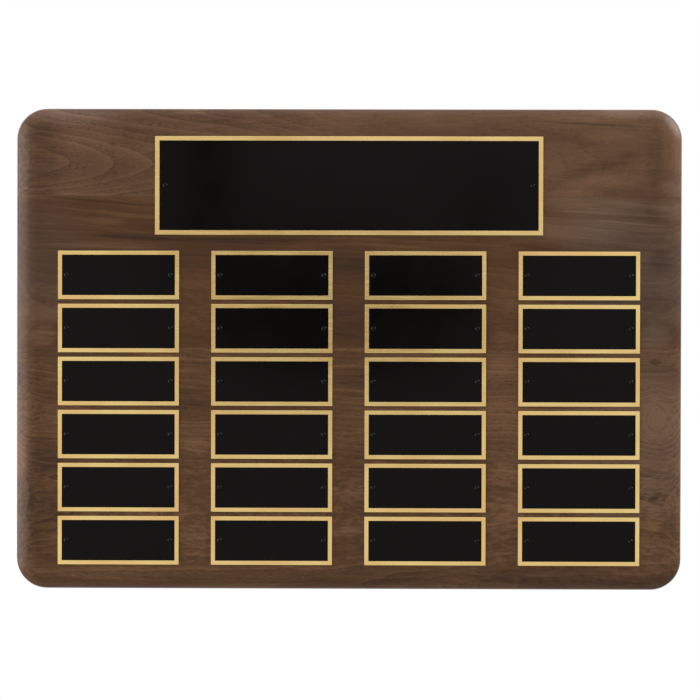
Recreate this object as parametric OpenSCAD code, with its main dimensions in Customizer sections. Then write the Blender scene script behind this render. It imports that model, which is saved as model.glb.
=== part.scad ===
// Perpetual wooden plaque: a walnut board of three edge-glued staves with a rolled edge, one wide
// header plate, a grid of small name plates, and two keyhole hangers let into the back.
// Millimetres. +Z is up, +X is to the right and the front faces -Y.
// The origin is the centre of the board's flat back face, which lies on the wall.

/* [Name plates] */
// Number of columns of name plates
columns = 4; // [2:1:5]
// Number of rows of name plates
rows = 6; // [2:1:7]
// Width of one name plate
plate_w = 82.9; // [50:0.1:110]
// Height of one name plate
plate_h = 33.2; // [20:0.1:45]
// Free wood between two columns
column_gap = 22.2; // [4:0.1:40]
// Free wood between two rows
row_gap = 3.15; // [1:0.05:12]
// Width of the bare brass border round a name plate's black field
plate_border = 2.75; // [1:0.05:4]
// From a name plate's end to the centre of its screw
plate_screw_inset = 5.9; // [5:0.1:9]

/* [Header plate] */
// Width of the header plate
header_w = 265.4; // [150:0.1:360]
// Height of the header plate
header_h = 67.4; // [40:0.1:90]
// Free wood between the header plate and the first row
header_gap = 11.1; // [3:0.1:30]
// Width of the bare brass border round the header's black field
header_border = 3; // [1:0.05:5]
// From the header plate's end to the centre of its screw
header_screw_inset = 7; // [5.5:0.1:12]

/* [Plate sheet] */
// Thickness of the brass sheet
sheet_t = 0.6; // [0.4:0.05:1.2]
// Thickness of the baked black lacquer on it
lacquer_t = 0.1; // [0.05:0.01:0.2]

/* [Board] */
// Free wood from the plates to each side of the board
side_margin = 29.5; // [24:0.1:60]
// Free wood above the header plate
top_margin = 19.4; // [17:0.1:60]
// Free wood below the last row
bottom_margin = 17.35; // [16.5:0.05:60]
// Thickness of the board
board_t = 19; // [16:0.1:32]
// Radius of the board's corners, seen from the front
corner_r = 21; // [18:0.1:60]
// How far the rolled edge reaches in over the front face
roll_reach = 14.5; // [8:0.1:16]
// How deep the rolled edge falls from the front face
roll_drop = 10; // [7:0.1:12]
// Radius of the roll where it turns into the board's side
roll_side_r = 6; // [3:0.1:6.5]
// Radius that takes the sharpness off the back edge
back_ease = 1.2; // [0.5:0.1:2]

/* [Staves] */
// Height of the top stave
top_stave_h = 60.4; // [45:0.1:80]
// Height of the middle stave
middle_stave_h = 103.9; // [80:0.1:125]

/* [Plate screws] */
// Diameter of the round head
head_d = 3.7; // [3:0.1:4.4]
// Height of the round head
head_h = 1.3; // [0.9:0.05:1.8]
// Diameter of the shank
shank_d = 1.85; // [1.4:0.05:2.3]
// Length under the head
screw_l = 9.5; // [7:0.1:12]
// Length of the point
point_l = 2; // [1:0.1:3]

/* [Hangers] */
// Distance between the two hangers' centre lines
hanger_spacing = 300; // [240:1:360]
// From the board's top edge to the hangers' centres
hanger_drop = 32; // [30:0.1:40]
// Length of a hanger
hanger_l = 41; // [40:0.1:48]
// Width of a hanger, and twice the radius of its round ends
hanger_w = 16; // [15:0.1:20]
// Thickness of a hanger
hanger_t = 1.5; // [1.2:0.1:2.2]
// Diameter of the entry hole for the wall screw's head
entry_d = 9.5; // [8:0.1:10]
// Width of the slot that the wall screw's neck slides up into
slot_w = 5; // [4.2:0.1:5.6]
// How far the wall screw travels up the slot
slot_run = 11; // [8:0.1:12]
// From a hanger's end to the centre of its fixing screw
hanger_screw_inset = 5; // [4.4:0.1:5.4]
// Depth of the pocket behind a hanger, for the wall screw's head
head_pocket_depth = 7; // [5:0.1:8]
// Free wood round the entry hole and the slot, in that pocket
head_pocket_margin = 1.2; // [0.5:0.1:1.3]
// Diameter of the countersunk head that fixes a hanger
flat_head_d = 5.4; // [4.6:0.1:6]
// Length of that screw, from the face of its head to its point
hanger_screw_l = 9.5; // [7:0.1:12]

/* [Fits] */
// Room round a screw in a plate, on the diameter
plate_hole_room = 0.35; // [0.1:0.05:0.8]
// Room round a screw in its pilot hole, on the diameter
pilot_room = 0.1; // [0.05:0.05:0.3]
// Room past a screw's point
pilot_end_room = 0.6; // [0.2:0.1:1.5]
// Room round a hanger in its recess
recess_room = 0.2; // [0.1:0.05:0.5]
// Room under a countersunk head in its countersink
countersink_room = 0.05; // [0.02:0.01:0.15]

/* [Hidden] */
$fn = 64;
past = 1; // how far a cutter runs out past a free face

field_h = rows * plate_h + (rows - 1) * row_gap;
field_w = columns * plate_w + (columns - 1) * column_gap;
board_w = max(field_w, header_w) + 2 * side_margin;
board_h = top_margin + header_h + header_gap + field_h + bottom_margin;
board_top = board_h / 2;
header_z = board_top - top_margin - header_h / 2;
first_row_z = header_z - header_h / 2 - header_gap - plate_h / 2;

upper_glue_z = board_top - top_stave_h;
lower_glue_z = upper_glue_z - middle_stave_h;

// The large arc of the roll starts level with the front face and meets the small arc, which
// ends square to it, without a corner.
roll_front_r = (pow(roll_reach, 2) - 2 * roll_reach * roll_side_r + pow(roll_drop, 2))
    / (2 * (roll_drop - roll_side_r));
roll_flat_r = corner_r - roll_reach;
roll_turn = asin((roll_reach - roll_side_r) / (roll_front_r - roll_side_r));

plate_hole_d = shank_d + plate_hole_room;
pilot_d = shank_d + pilot_room;
seat = board_t + sheet_t + lacquer_t; // the plane that the round heads sit on
head_sphere_r = (pow(head_d / 2, 2) + pow(head_h, 2)) / (2 * head_h);

hanger_z = board_top - hanger_drop;
entry_z = -slot_run / 2; // from here to hanger_end_z, sizes are from a hanger's own centre
slot_end_z = entry_z + slot_run;
hanger_end_z = hanger_l / 2 - hanger_w / 2;
hanger_screw_z = hanger_l / 2 - hanger_screw_inset;
flat_head_h = (flat_head_d - shank_d) / 2; // a countersink of 90 degrees
head_pocket_r = entry_d / 2 + head_pocket_margin;

function column_x(column) = (column - (columns + 1) / 2) * (plate_w + column_gap);
function row_z(row) = first_row_z - (row - 1) * (plate_h + row_gap);
function plate_name(row, column) = str("name_plate_r", row, "_c", column);
function lacquer_name(column) = str("lacquer_column_", column);
function screws_name(column) = str("screws_column_", column);

// ---- Placing ----
// Pieces are drawn lying on their backs: x to the right, y up the board and z out of its front.

module hang_up() {
    rotate([90, 0, 0])
        children();
}

module both_sides(reach) {
    for (side = [-1, 1])
        translate([side * reach, 0, 0])
            children();
}

module at_header_screws() {
    translate([0, header_z, 0])
        both_sides(header_w / 2 - header_screw_inset)
            children();
}

module at_column_screws(column) {
    for (row = [1:rows])
        translate([column_x(column), row_z(row), 0])
            both_sides(plate_w / 2 - plate_screw_inset)
                children();
}

module at_hanger(side) {
    translate([side * hanger_spacing / 2, hanger_z, 0])
        children();
}

module at_hanger_screws() {
    for (end = [-1, 1])
        translate([0, end * hanger_screw_z, 0])
            children();
}

// ---- Board ----

// Section of the board's rim: x runs out from the corner's centre, y from the back to the front.
module rim_section() {
    front_centre = [roll_flat_r, board_t - roll_front_r];
    side_centre = [corner_r - roll_side_r, board_t - roll_drop];
    union() {
        translate([0, back_ease])
            square([corner_r, board_t - roll_drop - back_ease]);
        square([corner_r - back_ease, back_ease]);
        translate([corner_r - back_ease, back_ease])
            circle(r = back_ease);
        translate([0, board_t - roll_drop])
            square([corner_r - roll_side_r, roll_drop - roll_front_r * (1 - cos(roll_turn))]);
        intersection() {
            translate(front_centre)
                circle(r = roll_front_r);
            translate([0, board_t - roll_drop])
                square([roll_flat_r + roll_front_r * sin(roll_turn), roll_drop]);
        }
        square([roll_flat_r, board_t]);
        translate(side_centre)
            circle(r = roll_side_r);
    }
}

module board_blank() {
    inner_w = board_w - 2 * corner_r;
    inner_h = board_h - 2 * corner_r;
    translate([-inner_w / 2, -inner_h / 2, 0])
        cube([inner_w, inner_h, board_t]);
    for (turn = [0, 180])
        rotate(turn) {
            translate([inner_w / 2, inner_h / 2, 0])
                rotate([90, 0, 0])
                    linear_extrude(inner_h)
                        rim_section();
            translate([-inner_w / 2, inner_h / 2, 0])
                rotate([90, 0, 90])
                    linear_extrude(inner_w)
                        rim_section();
            translate([inner_w / 2, inner_h / 2, 0])
                rotate_extrude(angle = 90)
                    rim_section();
            translate([-inner_w / 2, inner_h / 2, 0])
                rotate(90)
                    rotate_extrude(angle = 90)
                        rim_section();
        }
}

module plate_pilot() {
    depth = screw_l - sheet_t - lacquer_t + pilot_end_room;
    translate([0, 0, board_t - depth])
        cylinder(d = pilot_d, h = depth + past);
}

// Routed from the back: the recess that a hanger lies in, the pocket for the wall screw's head
// and the pilots of the hanger's own screws.
module hanger_rout() {
    translate([0, 0, -past])
        linear_extrude(hanger_t + past)
            stadium(-hanger_end_z, hanger_end_z, hanger_w / 2 + recess_room);
    linear_extrude(hanger_t + head_pocket_depth)
        stadium(entry_z, slot_end_z, head_pocket_r);
    at_hanger_screws()
        cylinder(d = pilot_d, h = hanger_screw_l + pilot_end_room);
}

// One stave of the board, from its lower glue line or edge to its upper one.
module stave(low, high) {
    hang_up()
        difference() {
            intersection() {
                board_blank();
                translate([-board_w / 2 - past, low, -past])
                    cube([board_w + 2 * past, high - low, board_t + 2 * past]);
            }
            at_header_screws()
                plate_pilot();
            for (column = [1:columns])
                at_column_screws(column)
                    plate_pilot();
            for (side = [-1, 1])
                at_hanger(side)
                    hanger_rout();
        }
}

module top_stave() {
    color("#66482f")
        stave(upper_glue_z, board_top + past);
}

module middle_stave() {
    color("#5f4430")
        stave(lower_glue_z, upper_glue_z);
}

module bottom_stave() {
    color("#553c2a")
        stave(-board_top - past, lower_glue_z);
}

// ---- Plates ----

module punched(screw_reach) {
    difference() {
        children();
        both_sides(screw_reach)
            translate([0, 0, -past])
                cylinder(d = plate_hole_d, h = sheet_t + lacquer_t + 2 * past);
    }
}

module sheet_plate(w, h, screw_inset) {
    translate([0, 0, board_t])
        punched(w / 2 - screw_inset)
            translate([-w / 2, -h / 2, 0])
                cube([w, h, sheet_t]);
}

module lacquer_field(w, h, border, screw_inset) {
    translate([0, 0, board_t + sheet_t])
        punched(w / 2 - screw_inset)
            translate([border - w / 2, border - h / 2, 0])
                cube([w - 2 * border, h - 2 * border, lacquer_t]);
}

module header_plate() {
    color("#dcb876")
        hang_up()
            translate([0, header_z, 0])
                sheet_plate(header_w, header_h, header_screw_inset);
}

module header_lacquer() {
    color("#191716")
        hang_up()
            translate([0, header_z, 0])
                lacquer_field(header_w, header_h, header_border, header_screw_inset);
}

module name_plate(row, column) {
    color("#d0ae70")
        hang_up()
            translate([column_x(column), row_z(row), 0])
                sheet_plate(plate_w, plate_h, plate_screw_inset);
}

module lacquer_column(column) {
    color("#161514")
        hang_up()
            for (row = [1:rows])
                translate([column_x(column), row_z(row), 0])
                    lacquer_field(plate_w, plate_h, plate_border, plate_screw_inset);
}

// ---- Plate screws ----

module round_head_screw() {
    translate([0, 0, seat])
        rotate_extrude() {
            intersection() {
                translate([0, head_h - head_sphere_r])
                    circle(r = head_sphere_r);
                square([head_d, head_h]);
            }
            translate([0, point_l - screw_l])
                square([shank_d / 2, screw_l - point_l]);
            polygon([[0, -screw_l], [shank_d / 2, point_l - screw_l], [0, point_l - screw_l]]);
        }
}

module header_screws() {
    color("#2a2725")
        hang_up()
            at_header_screws()
                round_head_screw();
}

module screws_column(column) {
    color("#2a2725")
        hang_up()
            at_column_screws(column)
                round_head_screw();
}

// ---- Hangers ----

// A strip along y with round ends, whose centres are at low and high.
module stadium(low, high, r) {
    translate([-r, low])
        square([2 * r, high - low]);
    for (y = [low, high])
        translate([0, y])
            circle(r = r);
}

// A flat head with its face at z = 0 and its point away from the back.
module flat_head_screw() {
    rotate_extrude()
        polygon([
            [0, 0],
            [flat_head_d / 2, 0],
            [shank_d / 2, flat_head_h],
            [shank_d / 2, hanger_screw_l - point_l],
            [0, hanger_screw_l]
        ]);
}

module hanger() {
    hole_d = shank_d + plate_hole_room;
    mouth_d = flat_head_d + 2 * countersink_room;
    sink_h = (mouth_d - hole_d) / 2;
    difference() {
        linear_extrude(hanger_t)
            stadium(-hanger_end_z, hanger_end_z, hanger_w / 2);
        translate([0, entry_z, -past])
            cylinder(d = entry_d, h = hanger_t + 2 * past);
        translate([0, 0, -past])
            linear_extrude(hanger_t + 2 * past)
                stadium(entry_z, slot_end_z, slot_w / 2);
        at_hanger_screws() {
            translate([0, 0, -past])
                cylinder(d = hole_d, h = hanger_t + 2 * past);
            cylinder(d1 = mouth_d, d2 = hole_d, h = sink_h);
        }
    }
}

module side_hanger(side) {
    color("#b9bab8")
        hang_up()
            at_hanger(side)
                hanger();
}

module left_hanger() {
    side_hanger(-1);
}

module right_hanger() {
    side_hanger(1);
}

module hanger_screws() {
    color("#a9aaa8")
        hang_up()
            for (side = [-1, 1])
                at_hanger(side)
                    at_hanger_screws()
                        flat_head_screw();
}

// ---- Nodes ----

top_stave();
middle_stave();
bottom_stave();
header_plate();
header_lacquer();
header_screws();
for (row = [1:rows], column = [1:columns])
    name_plate(row, column);
for (column = [1:columns])
    lacquer_column(column);
for (column = [1:columns])
    screws_column(column);
left_hanger();
right_hanger();
hanger_screws();
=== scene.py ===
"""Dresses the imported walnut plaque: walnut staves, brass plates with black lacquered fields, black
round-head screws and keyhole hangers. Metres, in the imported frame: the front faces -Y, +Z is up.
"""

import math
import random
from typing import NamedTuple

import bmesh
import bpy
from mathutils import Matrix, Vector
from mathutils.bvhtree import BVHTree


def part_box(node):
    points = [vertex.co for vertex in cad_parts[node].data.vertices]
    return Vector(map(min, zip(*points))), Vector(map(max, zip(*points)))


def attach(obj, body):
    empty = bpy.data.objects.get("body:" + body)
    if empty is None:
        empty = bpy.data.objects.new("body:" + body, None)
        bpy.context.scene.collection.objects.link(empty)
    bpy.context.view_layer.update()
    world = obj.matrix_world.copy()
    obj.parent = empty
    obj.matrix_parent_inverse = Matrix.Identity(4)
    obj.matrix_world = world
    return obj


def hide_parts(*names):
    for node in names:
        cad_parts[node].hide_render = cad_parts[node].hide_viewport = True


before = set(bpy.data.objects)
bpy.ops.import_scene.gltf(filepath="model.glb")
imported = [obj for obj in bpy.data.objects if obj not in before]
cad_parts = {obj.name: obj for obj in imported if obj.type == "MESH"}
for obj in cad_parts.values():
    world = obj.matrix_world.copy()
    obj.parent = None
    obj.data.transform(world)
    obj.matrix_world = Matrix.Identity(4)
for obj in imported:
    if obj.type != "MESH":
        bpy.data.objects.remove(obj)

bl_info = {
    "name": "Walnut Plaque",
    "version": (1, 0, 0),
    "blender": (4, 5, 0),
    "location": "3D View > Sidebar > Plaque",
    "description": "Builds the finished look of a wall plaque with name plates around its packed solids",
    "category": "Object",
}

MM = 0.001  # a millimetre, in metres
BODY = "root"
SHARP = math.radians(20)  # edges that turn more than this are shaded as edges
FLAT = 0.1  # faces that turn less than this, in radians, make one flat face
UPWARD = 0.2  # a face looks up where its normal rises more than this
CLOSE = 1e-7  # points nearer than this are one point
SPIN_STEPS = 28  # faces round a screw
DOME_STEPS = 6  # faces from the crown of a round head to its rim
HOLE_STEPS = 24  # edges round a screw hole in a brass sheet
EASE_STEPS = 2  # faces across an eased edge
RECESS_TAPER = 0.55  # size of a cross recess at its foot, against its mouth
SCREW_SEED = 7  # settles how far round each screw was driven
FACING_FRONT = Matrix.Rotation(math.pi / 2, 4, "X")
FACING_BACK = FACING_FRONT @ Matrix.Rotation(math.pi, 4, "Y")
STAVES = ("top_stave", "middle_stave", "bottom_stave")
NAME_PLATES = sorted(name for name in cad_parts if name.startswith("name_plate_"))
COLUMNS = sorted({name[-1] for name in NAME_PLATES})
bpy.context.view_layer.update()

# Where things lie in the photograph, in pixels of its 700 x 700 frame.
PHOTO = 700
EDGES = {"left": 17.2, "right": 680.9, "top": 109.2, "bottom": 589.1}
POINTS = {
    "header_left_screw": (166.3, 184.7),
    "header_right_screw": (534.3, 184.8),
    "first_name_screw": (65.6, 274.8),
    "last_name_screw": (631.1, 541.0),
    "cathedral_tip": (154.0, 162.0),
    "large_knot": (657.0, 418.0),
    "small_knot": (655.0, 362.0),
    "left_knot": (28.0, 404.0),
}


def linear(code):
    """An sRGB colour such as "#66482f" as linear red, green, blue and alpha."""
    channels = (int(code[i : i + 2], 16) / 255 for i in (1, 3, 5))
    return (*(c / 12.92 if c <= 0.04045 else ((c + 0.055) / 1.055) ** 2.4 for c in channels), 1.0)


# ---- What a user would change ----


def colour(name, description, code):
    """A colour that a user may change, from its sRGB code."""
    return bpy.props.FloatVectorProperty(
        name=name, description=description, subtype="COLOR", size=4, min=0, max=1, default=linear(code)
    )


def length(name, description, millimetres):
    """A length that a user may change, from its millimetres."""
    return bpy.props.FloatProperty(
        name=name, description=description, unit="LENGTH", min=0, precision=5, default=millimetres * MM
    )


def angle(name, description, degrees):
    """An angle that a user may change, from its degrees."""
    return bpy.props.FloatProperty(
        name=name, description=description, subtype="ANGLE", default=math.radians(degrees)
    )


class PlaqueSizes(bpy.types.PropertyGroup):
    sheet_ease: length("Sheet ease", "Radius left on a brass sheet's sheared edge", 0.12)
    hole_radius: length("Plate hole radius", "Radius of the screw holes in the brass sheets", 1.1)
    hanger_ease: length("Hanger ease", "Radius left on a hanger's stamped edge", 0.2)
    round_head_radius: length("Round head radius", "Radius of a plate screw's round head", 1.85)
    round_head_height: length("Round head height", "Height of a plate screw's round head", 1.3)
    flat_head_radius: length("Flat head radius", "Radius of a hanger screw's countersunk head", 2.7)
    shank_radius: length("Shank radius", "Radius of a screw's shank", 0.925)
    point_length: length("Point length", "Length of a screw's point", 2.0)
    recess_reach: length("Recess reach", "From a head's centre to the end of an arm of its recess", 1.15)
    recess_width: length("Recess width", "Width of an arm of the cross recess", 0.75)
    recess_depth: length("Recess depth", "Depth of the cross recess", 0.95)


class PlaqueColours(bpy.types.PropertyGroup):
    brass_yellow: colour("Brass, yellow", "Brass where it shows yellowest", "#f7d68e")
    brass_orange: colour("Brass, orange", "Brass where it shows warmest", "#f0c982")
    lacquer: colour("Black lacquer", "Baked lacquer on the plates", "#0b0807")
    screw_black: colour("Screw black", "Blackened screws", "#100f0f")
    zinc: colour("Zinc", "Bright zinc plate on the hangers", "#c9cac6")


class PlaqueView(bpy.types.PropertyGroup):
    distance: length("Distance", "From the camera to what it aims at", 1600)
    azimuth: angle("Azimuth", "How far the camera stands to the right", 0.51)
    elevation: angle("Elevation", "How far the camera stands above", 0.552)
    roll: angle("Roll", "Turn of the camera about its own axis", 0.137)
    lens: bpy.props.FloatProperty(
        name="Lens", description="Focal length of the camera", unit="CAMERA", min=1, default=118.8
    )
    aim: bpy.props.FloatVectorProperty(
        name="Aim",
        description="The point that the camera aims at",
        subtype="XYZ",
        unit="LENGTH",
        default=(0.0008, 0.0, -0.0006),
    )


# ---- Small helpers ----


def add(tree, kind, inputs=(), **settings):
    """Add one shader node, set its properties, and fill or link its inputs by place or by name."""
    node = tree.nodes.new("ShaderNode" + kind)
    for name, value in settings.items():
        setattr(node, name, value)
    for key, value in inputs.items() if isinstance(inputs, dict) else enumerate(inputs):
        if isinstance(value, bpy.types.Node):
            value = next(socket for socket in value.outputs if socket.enabled)
        if isinstance(value, bpy.types.NodeSocket):
            tree.links.new(value, node.inputs[key])
        else:
            node.inputs[key].default_value = value
    return node


def new_material(name):
    """An empty node material and its tree."""
    material = bpy.data.materials.new(name)
    material.use_nodes = True
    material.node_tree.nodes.clear()
    return material, material.node_tree


def in_millimetres(tree):
    """Where on the piece a material is, in millimetres."""
    place_at = add(tree, "TexCoord").outputs["Object"]
    return add(tree, "VectorMath", {"Vector": place_at, "Scale": 1 / MM}, operation="SCALE")


def finish_material(tree, inputs):
    """The one surface shader of a material, with what it is given, on the output."""
    shader = add(tree, "BsdfPrincipled", inputs)
    add(tree, "OutputMaterial", {"Surface": shader})


def dress(node_name, material):
    """Give a CAD node its finished material."""
    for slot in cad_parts[node_name].material_slots:
        slot.material = material


def piece_from(bm, name, material, replaced):
    """A finished piece from a bmesh in its final place, standing for CAD nodes."""
    mesh = bpy.data.meshes.new(name)
    bm.to_mesh(mesh)
    bm.free()
    mesh.shade_smooth()
    mesh.set_sharp_from_angle(angle=SHARP)
    mesh.materials.append(material)
    piece = bpy.data.objects.new(name, mesh)
    bpy.context.scene.collection.objects.link(piece)
    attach(piece, BODY)
    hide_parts(*replaced)
    return piece


# ---- Image points ----


def camera_ray(x, y):
    """The ray from the camera through a point of the photograph, in the frame."""
    camera = bpy.context.scene.camera
    data = camera.data
    direction = Vector(
        (
            x - PHOTO / 2 + data.shift_x * PHOTO,
            PHOTO / 2 - y + data.shift_y * PHOTO,
            -PHOTO * data.lens / data.sensor_width,
        )
    )
    return camera.matrix_world.translation, (camera.matrix_world.to_3x3() @ direction).normalized()


def place(x, y, carriers):
    """Where the ray through an image point meets the carriers, or the place nearest to the ray."""
    origin, direction = camera_ray(x, y)
    best = None
    for tree in carriers:
        hit = tree.ray_cast(origin, direction)
        if hit[0] is not None and (best is None or hit[3] < best[1]):
            best = (hit[0], hit[3])
    if best is not None:
        return best[0]
    beside = origin + direction * -origin.y
    return min((tree.find_nearest(beside) for tree in carriers), key=lambda found: found[3])[0]


def to_pixel(point):
    """Where a point of the frame shows in the photograph."""
    camera = bpy.context.scene.camera
    data = camera.data
    local = camera.matrix_world.inverted() @ point
    scale = PHOTO * data.lens / data.sensor_width / -local.z
    return (
        PHOTO / 2 - data.shift_x * PHOTO + local.x * scale,
        PHOTO / 2 + data.shift_y * PHOTO - local.y * scale,
    )


SHOWN = {}  # where each named thing was put, in the frame


def points_report():
    """How far across and down each named thing shows from its image point, in pixels."""
    shown = {name: to_pixel(point) for name, point in SHOWN.items()}
    report = {name: [shown[name][i] - POINTS[name][i] for i in (0, 1)] for name in POINTS}
    graph = bpy.context.evaluated_depsgraph_get()
    outline = [
        to_pixel(piece.matrix_world @ vertex.co)
        for piece in (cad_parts[name].evaluated_get(graph) for name in STAVES)
        for vertex in piece.data.vertices
    ]
    across, down = zip(*outline)
    edges = {"left": min(across), "right": max(across), "top": min(down), "bottom": max(down)}
    report.update({name: edges[name] - EDGES[name] for name in EDGES})
    return report


def surface_of(*objects):
    """A search tree for each finished object."""
    graph = bpy.context.evaluated_depsgraph_get()
    return [BVHTree.FromObject(o, graph) for o in objects]


# ---- Materials ----

SMOOTH = {"interpolation_type": "SMOOTHSTEP"}  # for a range that eases in and out
WAVES = ((210, 60), (46, 16), (15, 7))  # how long and how wide the waves in the grain are, slowest first
LAYERS = {  # marks along the grain: how long and how wide they are, and how often they break up
    "clouds": (120, 24, 1.0),
    "streaks": (60, 2.3, 2.0),
    "lines": (34, 1.5, 1.0),
    "flecks": (3.0, 0.85, 1.0),
    "curls": (6.5, 2.2, 1.0),
}
# Each stave reads its noises at a place of its own, this far from the last stave's.
WAVE_STEP = Vector((317, 0, 91))
MARK_STEP = Vector((431, 0, 57))
KNOT_HEART = 40  # radius at which a knot's own rings start, far from the log's
PATCH_DEPTHS = (-14, -5)  # a patch is whole in front of the first and gone behind the second


class Knot(NamedTuple):
    """A knot in a stave, in millimetres."""

    centre: Vector
    half_width: float
    half_height: float
    ring: float  # width of the rings round it


class Patch(NamedTuple):
    """A darker or paler place on the front of a stave, in millimetres."""

    x: float
    z: float
    half_length: float
    half_width: float
    darker: float  # below 0 where the place is paler
    slope: float = 0.0  # how it climbs to the right
    greyer: float = 0.0  # below 0 where the place is richer in colour


class Figure(NamedTuple):
    """How one stave was sawn from its log, in millimetres."""

    tones: tuple  # sRGB colours of the palest, the middling and the darkest wood
    pith: Vector  # a point on the log's heart
    rise: float  # how the heart climbs to the right
    run_out: float  # how the heart leaves the front of the board to the right
    ring: float  # width of a growth ring
    waves: tuple  # how far each of the waves bends the grain
    weights: tuple  # how strong clouds, rings, streaks, fine lines, flecks and curl are
    plain: float  # share of the streaks left where the face runs along a ring
    seed: int
    fades: tuple = (200, 300)  # from where to where along the stave the rings fade
    knots: tuple = ()
    patches: tuple = ()


def round_knots(tree, spot, knots):
    """Pull the grain round each knot, into a point above it. The second value is how far a spot is
    from the middle of each knot, where 1 is the knot's rim."""
    reaches = []
    for knot in knots:
        offset = add(tree, "VectorMath", (spot, tuple(knot.centre)), operation="SUBTRACT")
        apart = add(tree, "SeparateXYZ", (offset,))
        aside = add(tree, "Math", (apart.outputs["X"],), operation="ABSOLUTE")
        above = (apart.outputs["Z"], 0.0, 2 * knot.half_height, 0.0, 0.6 * knot.half_width)
        pointed = add(tree, "Math", (aside, add(tree, "MapRange", above)))
        x = add(tree, "Math", (pointed, 1 / knot.half_width), operation="MULTIPLY")
        z = add(tree, "Math", (apart.outputs["Z"], 1 / knot.half_height), operation="MULTIPLY")
        across = add(tree, "CombineXYZ", (x, 0.0, z))
        reach = add(tree, "VectorMath", (across,), operation="LENGTH").outputs["Value"]
        reaches.append(reach)
        pull = add(tree, "MapRange", (reach, 0.6, 3.2, 0.62, 0.0), **SMOOTH)
        moved = add(tree, "VectorMath", {"Vector": offset, "Scale": pull}, operation="SCALE")
        spot = add(tree, "VectorMath", (spot, moved), operation="SUBTRACT")
    return spot, reaches


def waved(tree, spot, figure):
    """The trunk isn't straight: slow and quick waves bend the grain."""
    for (reach, width), amount in zip(WAVES, figure.waves):
        shifted = add(tree, "VectorMath", (spot, tuple(WAVE_STEP * figure.seed)))
        scale = (1 / reach, 1 / width, 1 / width)
        stretched = add(tree, "VectorMath", (shifted, scale), operation="MULTIPLY")
        noise = add(tree, "TexNoise", {"Vector": stretched, "Scale": 1.0, "Detail": 0.0})
        centred = add(tree, "VectorMath", (noise.outputs["Color"], (0.5, 0.5, 0.5)), operation="SUBTRACT")
        bent = add(tree, "VectorMath", (centred, (0, amount, amount)), operation="MULTIPLY")
        spot = add(tree, "VectorMath", (spot, bent))
    return spot


def from_heart(tree, spot, figure):
    """How far along the log a spot is, its offset from the heart, and how far that is."""
    heart = tuple(Vector((1, figure.run_out, figure.rise)).normalized())
    offset = add(tree, "VectorMath", (spot, tuple(figure.pith)), operation="SUBTRACT")
    along = add(tree, "VectorMath", (offset, heart), operation="DOT_PRODUCT").outputs["Value"]
    on_heart = add(tree, "VectorMath", {"Vector": heart, "Scale": along}, operation="SCALE")
    across = add(tree, "VectorMath", (offset, on_heart), operation="SUBTRACT")
    radius = add(tree, "VectorMath", (across,), operation="LENGTH").outputs["Value"]
    return along, add(tree, "SeparateXYZ", (across,)), radius


def growth(tree, radius, figure):
    """How dark the wood of each year is, from the dark, porous line where it starts to its pale end.
    The second value is how far through its year a spot is."""
    uneven = add(tree, "TexNoise", {"W": radius, "Scale": 0.12, "Detail": 1.0}, noise_dimensions="1D")
    count = add(tree, "Math", (radius, 1 / figure.ring), operation="MULTIPLY")
    years = add(tree, "Math", (uneven, 1.5, count), operation="MULTIPLY_ADD")
    season = add(tree, "Math", (years,), operation="FRACT")
    line = add(tree, "MapRange", (season, 0.0, 0.07, 0.6, 0.0))
    early = add(tree, "MapRange", (season, 0.0, 0.5, 0.4, 0.0), **SMOOTH)
    late = add(tree, "MapRange", (season, 0.5, 0.97, 0.0, -0.6), **SMOOTH)
    tone = add(tree, "Math", (add(tree, "Math", (line, early)), late))
    whole = add(tree, "Math", (years,), operation="FLOOR")
    chance = add(tree, "TexWhiteNoise", {"W": whole}, noise_dimensions="1D").outputs["Value"]
    strength = add(tree, "MapRange", (chance, 0.0, 1.0, 0.4, 1.0))
    return add(tree, "Math", (tone, strength), operation="MULTIPLY"), season


def clearness(tree, spot, reaches, fades):
    """How clear the rings are: they fade along the stave, crowd round a knot and blur inside it."""
    along_stave = add(tree, "SeparateXYZ", (spot,)).outputs["X"]
    clear = add(tree, "MapRange", (along_stave, *fades, 1.0, 0.3), **SMOOTH)
    for reach in reaches:
        plain_knot = add(tree, "MapRange", (reach, 0.5, 0.95, 0.3, 1.0))
        crowded = add(tree, "MapRange", (reach, 1.3, 3.2, 2.1, 1.0))
        ringed = add(tree, "Math", (plain_knot, crowded), operation="MULTIPLY")
        clear = add(tree, "Math", (clear, ringed), operation="MULTIPLY")
    return clear


def marks_along(tree, grain, seed):
    """The noise behind each layer of marks that run with the grain."""
    layers = {}
    for layer, (reach, width, detail) in LAYERS.items():
        shifted = add(tree, "VectorMath", (grain, tuple(MARK_STEP * seed)))
        scale = (1 / reach, 1 / width, 1 / width)
        squeezed = add(tree, "VectorMath", (shifted, scale), operation="MULTIPLY")
        layers[layer] = add(tree, "TexNoise", {"Vector": squeezed, "Scale": 1.0, "Detail": detail})
    return layers


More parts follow.
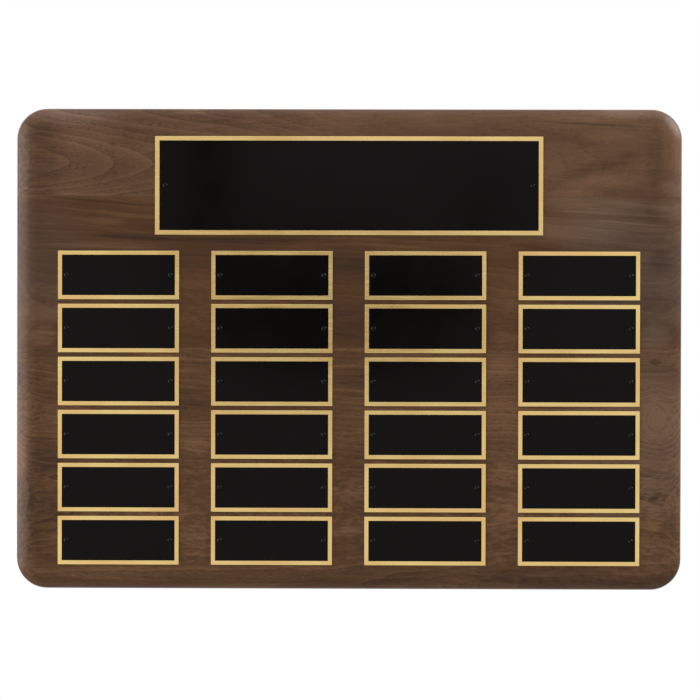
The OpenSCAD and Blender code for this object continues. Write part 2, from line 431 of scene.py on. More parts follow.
def patch_colour_and_painted_light(tree, spot, streaks, patches):
    """How much darker and how much greyer the patches make the wood: most are the wood's own colour, and
    some on the rolled edges are painted shade and painted highlights. Streaks break up a patch.
    """
    darker, greyer = 0.0, 0.0
    broken = add(tree, "MapRange", (streaks, 0.3, 0.65, 0.45, 1.0))
    for patch in patches:
        offset = add(tree, "VectorMath", (spot, (patch.x, 0.0, patch.z)), operation="SUBTRACT")
        tilt = add(tree, "VectorMath", (offset, (-patch.slope, 0, 1)), operation="DOT_PRODUCT")
        aside = add(tree, "SeparateXYZ", (offset,)).outputs["X"]
        x = add(tree, "Math", (aside, 1 / patch.half_length), operation="MULTIPLY")
        z = add(tree, "Math", (tilt.outputs["Value"], 1 / patch.half_width), operation="MULTIPLY")
        across = add(tree, "CombineXYZ", (x, 0.0, z))
        reach = add(tree, "VectorMath", (across,), operation="LENGTH").outputs["Value"]
        inside = add(tree, "MapRange", (reach, 0.3, 1.2, 1.0, 0.0), **SMOOTH)
        mark = add(tree, "Math", (inside, broken), operation="MULTIPLY")
        darker = add(tree, "Math", (mark, patch.darker, darker), operation="MULTIPLY_ADD")
        if patch.greyer:
            greyer = add(tree, "Math", (inside, patch.greyer, greyer), operation="MULTIPLY_ADD")
    return darker, greyer


def walnut(name, figure):
    """Black walnut heartwood, plain-sawn, planed and finished with satin lacquer: growth rings round
    the log's heart that darken where a year starts, colour streaks that follow them, knots that push
    them aside, and fibres and open pores along the grain."""
    material, tree = new_material(name)
    spot = in_millimetres(tree)
    depth = add(tree, "SeparateXYZ", (spot,)).outputs["Y"]
    on_front = add(tree, "MapRange", (depth, *PATCH_DEPTHS, 1.0, 0.0))
    spot, reaches = round_knots(tree, spot, figure.knots)
    spot = waved(tree, spot, figure)
    along, sides, radius = from_heart(tree, spot, figure)

    # A knot has rings of its own.
    for knot, reach in zip(figure.knots, reaches):
        inside = add(tree, "MapRange", (reach, 0.9, 1.9, 1.0, 0.0), **SMOOTH)
        spread = -knot.half_width / knot.ring * figure.ring
        own = add(tree, "Math", (reach, spread, KNOT_HEART), operation="MULTIPLY_ADD")
        radius = add(tree, "Mix", {0: inside, 2: radius, 3: own}, data_type="FLOAT").outputs[0]
    year, season = growth(tree, radius, figure)
    clear = clearness(tree, spot, reaches, figure.fades)
    ringed = add(tree, "Math", (year, clear), operation="MULTIPLY")

    # A face that runs along a ring has fewer streaks and lines, and its grain curls.
    height = add(tree, "Math", (sides.outputs["Z"],), operation="ABSOLUTE")
    steep = add(tree, "Math", (height, radius), operation="DIVIDE")
    busy = add(tree, "MapRange", (steep, 0.35, 0.8, figure.plain, 1.0), **SMOOTH)
    calm = add(tree, "Math", (1.0, busy), operation="SUBTRACT")
    grain = add(tree, "CombineXYZ", (along, sides.outputs["Y"], sides.outputs["Z"]))
    layers = marks_along(tree, grain, figure.seed)
    cloudy = add(tree, "MapRange", (layers["clouds"], 0.3, 0.7, -0.5, 0.5), **SMOOTH)
    streak = add(tree, "MapRange", (layers["streaks"], 0.28, 0.72, -0.5, 0.5))
    streaky = add(tree, "Math", (streak, busy), operation="MULTIPLY")
    middle = add(tree, "Math", (add(tree, "Math", (layers["lines"], -0.5)),), operation="ABSOLUTE")
    thin = add(tree, "MapRange", (middle, 0.0, 0.035, 0.8, 0.0))
    lined = add(tree, "Math", (thin, busy), operation="MULTIPLY")
    curl = add(tree, "MapRange", (layers["curls"], 0.35, 0.65, -0.5, 0.5), **SMOOTH)
    curly = add(tree, "Math", (curl, calm), operation="MULTIPLY")

    # Open pores are dark and the fibres between them pale, most of all where a year starts.
    pores = add(tree, "MapRange", (layers["flecks"], 0.58, 0.7, 0.0, 1.0), **SMOOTH)
    glints = add(tree, "MapRange", (layers["flecks"], 0.42, 0.3, 0.0, 0.7), **SMOOTH)
    flecks = add(tree, "Math", (pores, glints), operation="SUBTRACT")
    by_season = add(tree, "MapRange", (season, 0.0, 0.6, 1.0, 0.35))
    softer = add(tree, "MapRange", (clear, 0.3, 1.0, 0.6, 1.0))
    porous = add(tree, "Math", (by_season, softer), operation="MULTIPLY")
    flecked = add(tree, "Math", (flecks, porous), operation="MULTIPLY")

    shade = 0.5
    for layer, weight in zip((cloudy, ringed, streaky, lined, flecked, curly), figure.weights):
        shade = add(tree, "Math", (layer, weight, shade), operation="MULTIPLY_ADD")
    for reach in reaches:
        from_rim = add(tree, "Math", (add(tree, "Math", (reach, -1.0)),), operation="ABSOLUTE")
        bark = add(tree, "MapRange", (from_rim, 0.0, 0.15, 0.22, 0.0))
        shade = add(tree, "Math", (shade, bark))
    # Patches: places where the wood is darker, paler or greyer, and painted shade and painted highlights on
    # the rolled edges.
    darker, greyer = patch_colour_and_painted_light(tree, spot, layers["streaks"], figure.patches)
    shade = add(tree, "Math", (darker, on_front, shade), operation="MULTIPLY_ADD")
    grey = add(tree, "Math", (greyer, on_front), operation="MULTIPLY")
    ramp = add(tree, "ValToRGB", (shade,))
    palest, middling, darkest = (linear(code) for code in figure.tones)
    ramp.color_ramp.elements[0].color = palest
    ramp.color_ramp.elements[1].color = darkest
    ramp.color_ramp.elements.new(0.5).color = middling
    toned = {"Saturation": 0.6, "Value": 1.0, "Fac": grey, "Color": ramp.outputs["Color"]}

    bump = add(tree, "Bump", {"Strength": 0.15, "Distance": 0.05 * MM, "Height": pores}, invert=True)
    finish_material(
        tree,
        {
            "Base Color": add(tree, "HueSaturation", toned),
            "Roughness": add(tree, "MapRange", (layers["streaks"], 0.3, 0.7, 0.33, 0.43)),
            "IOR": 1.5,
            "Specular IOR Level": 0.19,
            "Normal": bump,
        },
    )
    return material


def brushed_brass(name, colours):
    """Sheet brass, brushed along its length and clear-coated, which gives a soft gold without mirror
    images. The hairlines are too fine to show, so they are drawn four times as wide."""
    material, tree = new_material(name)
    place_mm = in_millimetres(tree)
    hair = add(tree, "VectorMath", (place_mm, (1 / 30, 1 / 0.8, 1 / 0.4)), operation="MULTIPLY")
    lines = add(tree, "TexNoise", {"Vector": hair, "Scale": 1.0, "Detail": 2.0})
    drift = add(tree, "TexNoise", {"Vector": place_mm, "Scale": 1 / 35, "Detail": 1.0})
    warm = add(tree, "MapRange", (drift, 0.35, 0.65, 0.0, 1.0), **SMOOTH)
    base = add(tree, "Mix", {0: warm, 6: colours.brass_yellow, 7: colours.brass_orange}, data_type="RGBA")
    rough = add(tree, "MapRange", (lines, 0.3, 0.7, 0.13, 0.2))
    bump = add(tree, "Bump", {"Strength": 0.03, "Distance": 0.01 * MM, "Height": lines})
    finish_material(tree, {"Base Color": base, "Metallic": 1.0, "Roughness": rough, "Normal": bump})
    return material


def baked_lacquer(name, colours):
    """Black lacquer baked on brass: an even satin black, with the faint orange peel of a sprayed coat
    and cleaner and duller places where it has been wiped."""
    material, tree = new_material(name)
    place_mm = in_millimetres(tree)
    wiped = add(tree, "TexNoise", {"Vector": place_mm, "Scale": 1 / 28, "Detail": 3.0})
    rough = add(tree, "MapRange", (wiped, 0.3, 0.7, 0.07, 0.11))
    peel = add(tree, "TexNoise", {"Vector": place_mm, "Scale": 1 / 1.2, "Detail": 1.0})
    bump = add(tree, "Bump", {"Strength": 0.08, "Distance": 0.01 * MM, "Height": peel})
    finish_material(
        tree,
        {
            "Base Color": colours.lacquer,
            "Roughness": rough,
            "IOR": 1.5,
            "Specular IOR Level": 0.1,
            "Normal": bump,
        },
    )
    return material


def blackened_steel(name, colours):
    """Small steel screws, blackened and oiled: nearly black with a soft shine on the dome."""
    material, tree = new_material(name)
    place_mm = in_millimetres(tree)
    grain = add(tree, "TexNoise", {"Vector": place_mm, "Scale": 1 / 0.5, "Detail": 2.0})
    rough = add(tree, "MapRange", (grain, 0.3, 0.7, 0.16, 0.26))
    finish_material(
        tree,
        {"Base Color": colours.screw_black, "Roughness": rough, "IOR": 1.5, "Specular IOR Level": 0.18},
    )
    return material


def zinc_plate(name, colours):
    """Stamped steel under bright zinc: pale grey, with the faint cloudiness of barrel plating."""
    material, tree = new_material(name)
    place_mm = in_millimetres(tree)
    cloud = add(tree, "TexNoise", {"Vector": place_mm, "Scale": 1 / 4, "Detail": 4.0})
    dull = add(tree, "MapRange", (cloud, 0.35, 0.65, 0.0, 1.0))
    base = add(tree, "Mix", {0: dull, 6: colours.zinc, 7: linear("#a9aba9")}, data_type="RGBA")
    rough = add(tree, "MapRange", (cloud, 0.35, 0.65, 0.24, 0.42))
    finish_material(tree, {"Base Color": base, "Metallic": 1.0, "Roughness": rough})
    return material


# ---- Operators ----

# What stands dark in the studio in front of the plaque, where gloss shows it: the camera on its
# stand, a post to the left and a small box to the right. Middle and half size, across and up.
DARK_SHAPES = (
    (-0.014, 0.0095, 0.072, 0.035),
    (-0.072, 0.06, 0.014, 0.055),
    (0.051, 0.0505, 0.014, 0.014),
)
LAMPS = (  # name, place, width and height in metres, power in watts
    ("left_softbox", (-1.0, -0.15, 0.05), 1.1, 0.9, 10.8),
    ("right_softbox", (0.75, 0.0, 0.5), 0.5, 0.5, 6),
    ("top_softbox", (0.0, -0.1, 1.3), 1.6, 0.8, 3),
)
FLOOR_RADIUS = 1.5
FLOOR_PLACE = (0.0, 1.2, -0.7)  # the floor's middle


class PLAQUE_OT_stage(bpy.types.Operator):
    """Set up the camera, the floor, the world and the lamps"""

    bl_idname = "plaque.stage"
    bl_label = "Stage"

    def camera(self, view):
        """The photograph's viewing angle."""
        data = bpy.data.cameras.new("photo_camera")
        data.sensor_fit = "AUTO"
        data.sensor_width = 36
        data.lens = view.lens
        data.clip_end = 20
        camera = bpy.data.objects.new("photo_camera", data)
        bpy.context.scene.collection.objects.link(camera)
        away = Vector(
            (
                math.sin(view.azimuth) * math.cos(view.elevation),
                -math.cos(view.azimuth) * math.cos(view.elevation),
                math.sin(view.elevation),
            )
        )
        camera.rotation_mode = "QUATERNION"
        turn = (-away).to_track_quat("-Z", "Y").to_matrix() @ Matrix.Rotation(view.roll, 3, "Z")
        camera.matrix_world = Matrix.LocRotScale(Vector(view.aim) + away * view.distance, turn, None)
        bpy.context.scene.camera = camera
        bpy.context.view_layer.update()

    def studio(self, tree, direction, forward, up):
        """What gloss shows of the room: pale round the camera, with the dark shapes in it, dim at the
        sides, and white behind the plaque."""
        front = add(tree, "MapRange", (forward, -0.99, -0.95, 0.78, 1.2), **SMOOTH)
        side = add(tree, "MapRange", (forward, -0.85, -0.4, 1.0, 0.4), **SMOOTH)
        below = add(tree, "MapRange", (up, -0.6, -0.1, 1.15, 1.0), **SMOOTH)
        high = add(tree, "MapRange", (up, -0.1, 0.1, 0.97, 1.07))
        room = front
        for part in (side, below, high):
            room = add(tree, "Math", (room, part), operation="MULTIPLY")
        for x, z, half_width, half_height in DARK_SHAPES:
            offset = add(tree, "VectorMath", (direction, (x, 0, z)), operation="SUBTRACT")
            scale = (1 / half_width, 0, 1 / half_height)
            scaled = add(tree, "VectorMath", (offset, scale), operation="MULTIPLY")
            reach = add(tree, "VectorMath", (scaled,), operation="LENGTH").outputs["Value"]
            clear = add(tree, "MapRange", (reach, 0.7, 1.1, 0.04, 1.0), **SMOOTH)
            room = add(tree, "Math", (room, clear), operation="MULTIPLY")
        behind = add(tree, "MapRange", (forward, 0.0, 0.4, 0.0, 1.0), **SMOOTH)
        low = add(tree, "MapRange", (up, -0.5, 0.0, 0.25, 1.0), **SMOOTH)
        backdrop = add(tree, "Math", (behind, low), operation="MULTIPLY")
        return add(tree, "Math", (room, backdrop), operation="MAXIMUM")

    def world(self):
        """White to the camera, a studio to gloss, and soft even light to the rest."""
        world = bpy.data.worlds.new("studio")
        bpy.context.scene.world = world
        world.use_nodes = True
        tree = world.node_tree
        tree.nodes.clear()
        direction = add(tree, "TexCoord").outputs["Generated"]
        toward = add(tree, "SeparateXYZ", (direction,))
        forward, up = toward.outputs["Y"], toward.outputs["Z"]
        reflected = self.studio(tree, direction, forward, up)
        ambient = add(tree, "MapRange", (up, -1.0, 1.0, 0.54, 0.7))
        path = add(tree, "LightPath").outputs
        shiny = (path["Is Glossy Ray"], path["Is Transmission Ray"])
        by_gloss = add(tree, "Math", shiny, operation="MAXIMUM")
        lit = add(tree, "Mix", {0: by_gloss, 2: ambient, 3: reflected}, data_type="FLOAT")
        shown = add(tree, "Mix", {0: path["Is Camera Ray"], 2: lit, 3: 1.0}, data_type="FLOAT")
        background = add(tree, "Background", {"Color": (1, 1, 1, 1), "Strength": shown})
        add(tree, "OutputWorld", {"Surface": background})

    def floor(self):
        """A pale floor below and behind the plaque. It fades into the white and can't be seen from below."""
        bm = bmesh.new()
        bmesh.ops.create_circle(bm, cap_ends=True, segments=96, radius=FLOOR_RADIUS)
        bmesh.ops.translate(bm, verts=bm.verts, vec=FLOOR_PLACE)
        mesh = bpy.data.meshes.new("floor")
        bm.to_mesh(mesh)
        bm.free()
        material, tree = new_material("pale_floor_paper")
        path = add(tree, "LightPath").outputs
        direct = add(tree, "Math", (path["Is Camera Ray"], path["Is Glossy Ray"]), operation="MAXIMUM")
        seen = add(tree, "Math", (direct, path["Is Transmission Ray"]), operation="MAXIMUM")
        share = add(tree, "Math", (seen, 0.75), operation="MULTIPLY")
        paper = add(tree, "BsdfDiffuse", {"Color": linear("#f4f3f1")})
        white = add(tree, "Emission", {"Strength": 1.0})
        whitened = add(tree, "MixShader", (share, paper, white))
        place_at = add(tree, "TexCoord").outputs["Object"]
        from_middle = add(tree, "VectorMath", (place_at, FLOOR_PLACE), operation="DISTANCE").outputs["Value"]
        fade = (from_middle, FLOOR_RADIUS * 0.6, FLOOR_RADIUS * 0.98, 0.0, 1.0)
        edge = add(tree, "MapRange", fade, **SMOOTH)
        from_below = add(tree, "NewGeometry").outputs["Backfacing"]
        hidden = add(tree, "Math", (edge, from_below), operation="MAXIMUM")
        surface = add(tree, "MixShader", (hidden, whitened, add(tree, "BsdfTransparent")))
        add(tree, "OutputMaterial", {"Surface": surface})
        mesh.materials.append(material)
        floor = bpy.data.objects.new("floor", mesh)
        bpy.context.scene.collection.objects.link(floor)

    def lamps(self):
        """Soft boxes that look at the middle of the plaque."""
        for name, place_at, width, height, power in LAMPS:
            data = bpy.data.lights.new(name, "AREA")
            data.shape = "RECTANGLE"
            data.size = width
            data.size_y = height
            data.energy = power
            lamp = bpy.data.objects.new(name, data)
            lamp.location = place_at
            lamp.rotation_euler = (-Vector(place_at)).to_track_quat("-Z", "Z").to_euler()
            bpy.context.scene.collection.objects.link(lamp)

    def execute(self, context):
        self.camera(context.scene.plaque_view)
        self.world()
        self.floor()
        self.lamps()
        context.scene.view_settings.view_transform = "Standard"
        return {"FINISHED"}


def top_figure(tip):
    """Rings that end in a row of cathedral tips, then calm wood right of the header plate."""
    return Figure(
        tones=("#7c5a42", "#5f422d", "#422b1b"),
        pith=tip + Vector((0, 32, 0)),
        rise=-0.012,
        run_out=0.1,
        ring=3.1,
        waves=(9, 2.2, 0.5),
        weights=(0.25, 0.35, 0.3, 0.14, 0.4, 0.1),
        plain=0.35,
        seed=1,
        fades=(-130, 20),
        patches=(
            # The left end and the edge above the header plate
            # Painted shade: darker over the upper part of the left rolled edge, dimming the side lamp's
            # light there.
            Patch(-218, 125, 28, 40, 0.45),
            # Painted highlight: paler and greyer on the top rolled edge near the left corner.
            Patch(-190, 160, 40, 8, -0.45, greyer=0.4),
            Patch(-180, 147, 28, 9, -0.25),
            Patch(-62, 158, 60, 9, 0.25),
            # Right of the header plate: bands in the wood, and painted light on the rolled edges
            # Painted highlight: paler and greyer on the top rolled edge near the right corner.
            Patch(196, 163, 30, 6, -0.35, greyer=0.4),
            Patch(166, 154, 38, 1.2, 0.5, slope=-0.06),
            Patch(176, 146, 22, 5, -0.3),
            Patch(173, 126, 44, 6, 0.28, slope=0.3),
            Patch(173, 113, 34, 6, -0.25, slope=0.1),
            Patch(152, 105, 24, 4.5, -0.45),
            # Painted shade: a darker strip just inside the right rolled edge.
            Patch(209, 130, 7, 28, 0.22),
            Patch(221, 110, 12, 7, -0.3, greyer=0.1),
        ),
    )


def middle_figure():
    """Quiet, streaky wood with a few dark and pale bands under the upper glue line."""
    return Figure(
        tones=("#6f4e31", "#4e3118", "#301b0b"),
        pith=Vector((0, 26, 18)),
        rise=-0.035,
        run_out=0.02,
        ring=4.2,
        waves=(12, 1.6, 0.6),
        weights=(0.3, 0.16, 0.25, 0.15, 0.12, 0.1),
        plain=0.0,
        seed=2,
        patches=(
            # Bands left of the header plate and under it
            Patch(-160, 100, 50, 1.2, 0.5, slope=-0.03),
            Patch(-135, 86, 30, 5, 0.35, slope=-0.04),
            Patch(-130, 77, 60, 2.5, 0.45, slope=-0.04),
            Patch(-160, 71, 45, 3.5, -0.35, slope=-0.02, greyer=0.2),
            Patch(-58, 75, 60, 5, 0.35),
            # Bands right of the header plate
            Patch(170, 99, 54, 9, -0.7, greyer=0.3),
            Patch(221, 98, 14, 10, -0.45, greyer=0.2),
            Patch(185, 92, 50, 1.2, -0.25, slope=-0.02, greyer=0.2),
            Patch(190, 86, 30, 1.2, -0.3, slope=-0.03),
            Patch(150, 82, 50, 14, -0.5, greyer=0.25),
            # The left margin
            Patch(-205, 50, 30, 60, -0.1, greyer=0.35),
            Patch(-209, 7, 12, 10, -0.45),
            # Between the columns
            Patch(0, 40, 30, 50, 0.2),
            Patch(107, 50, 20, 45, -0.2),
            Patch(107, 6, 16, 10, -0.4),
            # The right margin
            # Painted sheen: paler and greyer over the right margin and its rolled edge.
            Patch(195, 50, 60, 55, -0.12, greyer=0.6),
            Patch(213, 62, 10, 9, 0.3),
            Patch(207, 8, 16, 10, -0.35, greyer=0.3),
        ),
    )


def bottom_figure(large_knot, small_knot, left_knot):
    """Wavy wood with three knots: a large and a small one at the right end, and one at the left."""
    return Figure(
        tones=("#77553b", "#573a21", "#372110"),
        pith=Vector((0, 36, -112)),
        rise=-0.015,
        run_out=0.05,
        ring=2.7,
        waves=(16, 3.4, 1.2),
        weights=(0.3, 0.3, 0.28, 0.16, 0.33, 0.4),
        plain=0.4,
        seed=3,
        knots=(
            Knot(large_knot, 7.2, 9.5, 3.0),
            Knot(small_knot, 2.2, 1.6, 1.5),
            Knot(left_knot, 4.0, 5.0, 2.4),
        ),
        patches=(
            # The knots at the right end
            Patch(small_knot.x, small_knot.z, 3.6, 1.8, 0.35),
            Patch(large_knot.x, large_knot.z, 6.5, 8.5, -0.25),
            # The left margin
            Patch(-160, -5, 50, 12, 0.12),
            Patch(-218, -32, 24, 26, 0.16),
            Patch(-228, -76, 12, 18, -0.6),
            # Painted shade: darker along the lower left rolled edge, dimming the side lamp's sheen there.
            Patch(-211, -100, 24, 60, 0.3),
            # Between the first two columns
            Patch(-104, -4, 15, 6, 0.3),
            Patch(-109, -20, 16, 25, 0.15),
            Patch(-104, -66, 14, 8, -0.35),
            Patch(-104, -132, 14, 12, -0.35),
            # Between the middle columns
            Patch(0, -3, 17, 5, 0.35),
            Patch(4, -22, 18, 14, 0.4),
            Patch(6, -94, 9, 6, -0.35),
            # Between the last two columns
            Patch(107, -6, 16, 8, -0.3),
            Patch(107, -70, 20, 100, -0.25),
            Patch(107, -84, 16, 10, -0.3),
            # The right margin
            # Painted sheen: paler and greyer over the right margin and its rolled edge.
            Patch(195, -60, 60, 90, -0.25, greyer=0.3),
            Patch(210, -101, 5, 3, 0.5, slope=0.6),
            Patch(207, -125, 9, 13, -0.25, greyer=-0.2),
            # The bottom edge
            # Painted shade: darker along the whole bottom rolled edge, which gets little light from below.
            Patch(0, -160, 260, 12, 0.1),
            Patch(103, -160, 22, 8, 0.3),
        ),
    )


class PLAQUE_OT_board(bpy.types.Operator):
    """Give the three staves their walnut"""

    bl_idname = "plaque.board"
    bl_label = "Board"

    def execute(self, context):
        carriers = surface_of(*(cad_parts[name] for name in STAVES))
        features = ("cathedral_tip", "large_knot", "small_knot", "left_knot")
        SHOWN.update({name: place(*POINTS[name], carriers) for name in features})
        tip, large_knot, small_knot, left_knot = (SHOWN[name] / MM for name in features)
        dress("top_stave", walnut("top_walnut", top_figure(tip)))
        dress("middle_stave", walnut("middle_walnut", middle_figure()))
        dress("bottom_stave", walnut("bottom_walnut", bottom_figure(large_knot, small_knot, left_knot)))
        return {"FINISHED"}


class PLAQUE_OT_plates(bpy.types.Operator):
    """Cut the brass sheets and give the lacquered fields their black"""

    bl_idname = "plaque.plates"
    bl_label = "Plates"

    def sheet(self, node_name, inset, sizes):
        """A brass sheet with two screw holes and eased edges, in the place of its CAD node."""
        low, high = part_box(node_name)
        half_width, half_height = (high.x - low.x) / 2, (high.z - low.z) / 2
        bm = bmesh.new()
        bmesh.ops.create_grid(bm, x_segments=1, y_segments=1, size=0.5)
        bmesh.ops.delete(bm, geom=bm.faces[:], context="FACES_ONLY")
        bmesh.ops.scale(bm, vec=(2 * half_width, 2 * half_height, 1), verts=bm.verts)
        for side in (-1, 1):
            centre = Matrix.Translation((side * (half_width - inset), 0, 0))
            bmesh.ops.create_circle(
                bm, cap_ends=False, segments=HOLE_STEPS, radius=sizes.hole_radius, matrix=centre
            )
        bmesh.ops.triangle_fill(bm, use_beauty=True, edges=bm.edges[:], normal=(0, 0, 1))
        bmesh.ops.join_triangles(bm, faces=bm.faces[:], angle_face_threshold=FLAT, angle_shape_threshold=3.0)
        top = bmesh.ops.extrude_face_region(bm, geom=bm.faces[:])["geom"]
        raised = [v for v in top if isinstance(v, bmesh.types.BMVert)]
        bmesh.ops.translate(bm, verts=raised, vec=(0, 0, high.y - low.y))
        bmesh.ops.recalc_face_normals(bm, faces=bm.faces)

        def on_outline(vert):
            beside = abs(abs(vert.co.x) - half_width)
            beyond = abs(abs(vert.co.y) - half_height)
            return min(beside, beyond) < CLOSE

        outer = [e for e in bm.edges if all(map(on_outline, e.verts)) and e.calc_face_angle(0) >= FLAT]
        bmesh.ops.bevel(
            bm,
            geom=outer,
            offset=sizes.sheet_ease,
            segments=EASE_STEPS,
            profile=0.5,
            affect="EDGES",
            material=-1,
        )
        middle = Matrix.Translation(((low.x + high.x) / 2, high.y, (low.z + high.z) / 2))
        bmesh.ops.transform(bm, matrix=middle @ FACING_FRONT, verts=bm.verts)
        return bm

    def execute(self, context):
        sizes, colours = context.scene.plaque_sizes, context.scene.plaque_colours
        header_brass = brushed_brass("brushed_header_brass", colours)
        screw_low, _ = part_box("header_screws")
        header_low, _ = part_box("header_plate")
        inset = screw_low.x + sizes.round_head_radius - header_low.x
        bm = self.sheet("header_plate", inset, sizes)
        piece_from(bm, "header_sheet", header_brass, ["header_plate"])
        plate_brass = brushed_brass("brushed_plate_brass", colours)
        column_low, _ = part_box("screws_column_1")
        plate_low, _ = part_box("name_plate_r1_c1")
        inset = column_low.x + sizes.round_head_radius - plate_low.x
        for name in NAME_PLATES:
            bm = self.sheet(name, inset, sizes)
            piece_from(bm, name.replace("name_plate", "name_sheet"), plate_brass, [name])
        lacquer = baked_lacquer("black_baked_lacquer", colours)
        dress("header_lacquer", lacquer)
        for column in COLUMNS:
            dress(f"lacquer_column_{column}", lacquer)
        return {"FINISHED"}


def cut_recess(bm, sizes):
    """Sink a cross recess into the top of the screw that stands in bm, pointing down."""
    half_width, reach = sizes.recess_width / 2, sizes.recess_reach
    top = max(v.co.z for v in bm.verts)

    def on_head(face):
        return face.normal.z > UPWARD and face.calc_center_median().z > top - sizes.round_head_height

    def in_recess(face):
        middle = face.calc_center_median()
        near, far = sorted((abs(middle.x), abs(middle.y)))
        return near < half_width and far < reach and face.normal.z > UPWARD

    for axis in (Vector((1, 0, 0)), Vector((0, 1, 0))):
        for cut in (-reach, -half_width, half_width, reach):
            head = [f for f in bm.faces if on_head(f)]
            geometry = list({e for f in head for e in f.edges} | {v for f in head for v in f.verts}) + head
            bmesh.ops.bisect_plane(bm, geom=geometry, dist=CLOSE, plane_co=axis * cut, plane_no=axis)
    arms = [f for f in bm.faces if in_recess(f)]
    sunk = bmesh.ops.extrude_face_region(bm, geom=arms)["geom"]
    bmesh.ops.delete(bm, geom=arms, context="FACES")
    for vert in (v for v in sunk if isinstance(v, bmesh.types.BMVert)):
        vert.co = Vector((vert.co.x * RECESS_TAPER, vert.co.y * RECESS_TAPER, top - sizes.recess_depth))


def turned_screw(profile, sizes):
    """A screw turned from its half outline, head up, with its cross recess."""
    bm = bmesh.new()
    verts = [bm.verts.new((radius, 0, height)) for radius, height in profile]
    edges = [bm.edges.new(pair) for pair in zip(verts, verts[1:])]
    bmesh.ops.spin(
        bm,
        geom=verts + edges,
        axis=(0, 0, 1),
        cent=(0, 0, 0),
        angle=math.tau,
        steps=SPIN_STEPS,
        use_merge=True,
    )
    bmesh.ops.remove_doubles(bm, verts=bm.verts, dist=CLOSE)
    bmesh.ops.recalc_face_normals(bm, faces=bm.faces)
    cut_recess(bm, sizes)
    bmesh.ops.recalc_face_normals(bm, faces=bm.faces)
    return bm


def set_of_screws(screw, places, facing, chance):
    """Copies of one screw, each with its head at a place and its recess turned by chance."""
    mesh = bpy.data.meshes.new("screw")
    screw.to_mesh(mesh)
    screw.free()
    bm = bmesh.new()
    for place_at in places:
        start = len(bm.verts)
        bm.from_mesh(mesh)
        bm.verts.ensure_lookup_table()
        turn = Matrix.Rotation(chance.uniform(0, math.pi / 2), 4, "Z")
        upright = Matrix.Translation(place_at) @ facing @ turn
        bmesh.ops.transform(bm, matrix=upright, verts=bm.verts[start:])
    bpy.data.meshes.remove(mesh)
    return bm


class PLAQUE_OT_screws(bpy.types.Operator):
    """Turn the round-head screws that hold the plates"""

    bl_idname = "plaque.screws"
    bl_label = "Plate screws"

    def profile(self, sizes, screw_length):
        """Half outline from the crown of the dome, round its rim and down to the point."""
        radius, height = sizes.round_head_radius, sizes.round_head_height
        dome = (radius**2 + height**2) / (2 * height)
        spread = math.asin(min(1, radius / dome))
        if height > dome:
            spread = math.pi - spread
        turns = [spread * i / DOME_STEPS for i in range(DOME_STEPS + 1)]
        arc = [(dome * math.sin(turn), height - dome * (1 - math.cos(turn))) for turn in turns]
        shank = sizes.shank_radius
        return arc + [(shank, 0), (shank, sizes.point_length - screw_length), (0, -screw_length)]

    def execute(self, context):
        sizes = context.scene.plaque_sizes
        black = blackened_steel("blackened_screw_steel", context.scene.plaque_colours)
        groups = {"header_screws": ["header_plate"]}
        for column in COLUMNS:
            groups[f"screws_column_{column}"] = [name for name in NAME_PLATES if name.endswith(f"c{column}")]
        chance = random.Random(SCREW_SEED)
        for node_name, plates in groups.items():
            low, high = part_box(node_name)
            seat = low.y + sizes.round_head_height
            sides = (low.x + sizes.round_head_radius, high.x - sizes.round_head_radius)
            heights = [sum(corner.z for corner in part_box(plate)) / 2 for plate in plates]
            places = [Vector((x, seat, z)) for z in heights for x in sides]
            crowns = [place_at + Vector((0, low.y - seat, 0)) for place_at in places]
            if node_name == "header_screws":
                SHOWN["header_left_screw"], SHOWN["header_right_screw"] = crowns
            elif node_name.endswith(COLUMNS[0]):
                SHOWN["first_name_screw"] = crowns[0]
            elif node_name.endswith(COLUMNS[-1]):
                SHOWN["last_name_screw"] = crowns[-1]
            screw = turned_screw(self.profile(sizes, high.y - seat), sizes)
            bm = set_of_screws(screw, places, FACING_FRONT, chance)
            piece_from(bm, node_name.replace("screws", "round_screws"), black, [node_name])
        return {"FINISHED"}


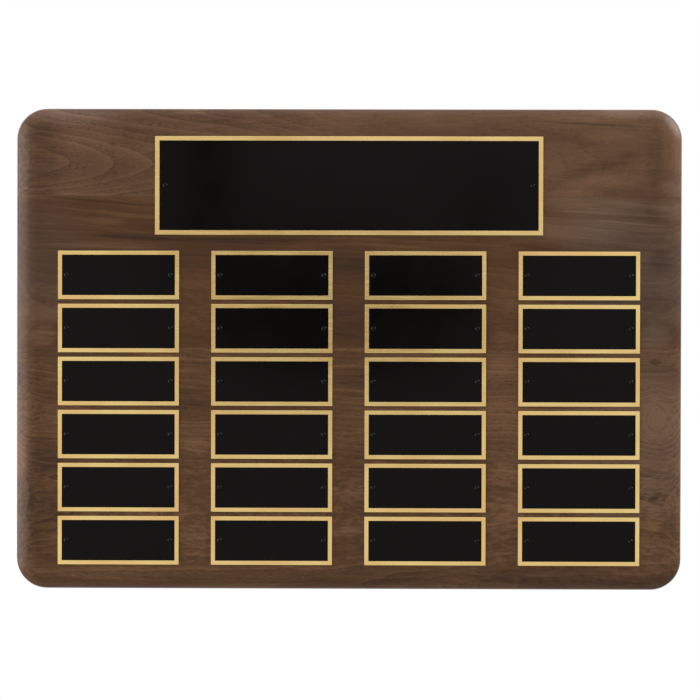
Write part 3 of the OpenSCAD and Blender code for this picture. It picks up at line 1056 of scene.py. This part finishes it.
class PLAQUE_OT_hangers(bpy.types.Operator):
    """Plate the keyhole hangers with zinc and turn the screws that hold them"""

    bl_idname = "plaque.hangers"
    bl_label = "Hangers"

    def eased(self, node_name, radius):
        """The stamped shape of a hanger with its edges eased."""
        bm = bmesh.new()
        bm.from_mesh(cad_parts[node_name].data)
        bmesh.ops.remove_doubles(bm, verts=bm.verts, dist=CLOSE)
        bmesh.ops.dissolve_limit(bm, angle_limit=math.radians(1), verts=bm.verts, edges=bm.edges)
        square = [e for e in bm.edges if e.is_manifold and e.calc_face_angle() > math.radians(60)]
        bmesh.ops.bevel(
            bm,
            geom=square,
            offset=radius,
            segments=EASE_STEPS,
            profile=0.5,
            affect="EDGES",
            material=-1,
            clamp_overlap=True,
        )
        bmesh.ops.recalc_face_normals(bm, faces=bm.faces)
        return bm

    def execute(self, context):
        sizes = context.scene.plaque_sizes
        zinc = zinc_plate("bright_zinc", context.scene.plaque_colours)
        centres = []
        for name in ("left_hanger", "right_hanger"):
            bm = self.eased(name, sizes.hanger_ease)
            piece_from(bm, name.replace("hanger", "keyhole_plate"), zinc, [name])
            low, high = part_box(name)
            centres.append((low.x + high.x) / 2)
        low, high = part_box("hanger_screws")
        head, shank = sizes.flat_head_radius, sizes.shank_radius
        screw_length = high.y - low.y
        under_head = (shank, shank - head)
        over_point = (shank, sizes.point_length - screw_length)
        profile = [(0, 0), (head, 0), under_head, over_point, (0, -screw_length)]
        places = [Vector((x, high.y, z)) for x in centres for z in (low.z + head, high.z - head)]
        chance = random.Random(SCREW_SEED + 1)
        bm = set_of_screws(turned_screw(profile, sizes), places, FACING_BACK, chance)
        piece_from(bm, "hanger_flat_screws", zinc, ["hanger_screws"])
        return {"FINISHED"}


STEPS = (PLAQUE_OT_stage, PLAQUE_OT_board, PLAQUE_OT_plates, PLAQUE_OT_screws, PLAQUE_OT_hangers)


class PLAQUE_PT_panel(bpy.types.Panel):
    """Lists the plaque's steps and what a user may change"""

    bl_label = "Plaque"
    bl_space_type = "VIEW_3D"
    bl_region_type = "UI"
    bl_category = "Plaque"

    def draw(self, context):
        for step in STEPS:
            self.layout.operator(step.bl_idname)
        for group in (context.scene.plaque_sizes, context.scene.plaque_colours, context.scene.plaque_view):
            for name in group.__annotations__:
                self.layout.prop(group, name)


CLASSES = (PlaqueSizes, PlaqueColours, PlaqueView, *STEPS, PLAQUE_PT_panel)


def register():
    for cls in CLASSES:
        bpy.utils.register_class(cls)
    bpy.types.Scene.plaque_sizes = bpy.props.PointerProperty(type=PlaqueSizes)
    bpy.types.Scene.plaque_colours = bpy.props.PointerProperty(type=PlaqueColours)
    bpy.types.Scene.plaque_view = bpy.props.PointerProperty(type=PlaqueView)


def unregister():
    del bpy.types.Scene.plaque_view
    del bpy.types.Scene.plaque_colours
    del bpy.types.Scene.plaque_sizes
    for cls in reversed(CLASSES):
        bpy.utils.unregister_class(cls)


def main():
    register()
    bpy.ops.plaque.stage()
    bpy.ops.plaque.board()
    bpy.ops.plaque.plates()
    bpy.ops.plaque.screws()
    bpy.ops.plaque.hangers()
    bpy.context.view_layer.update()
    points_report()


if __name__ == "__main__":
    main()
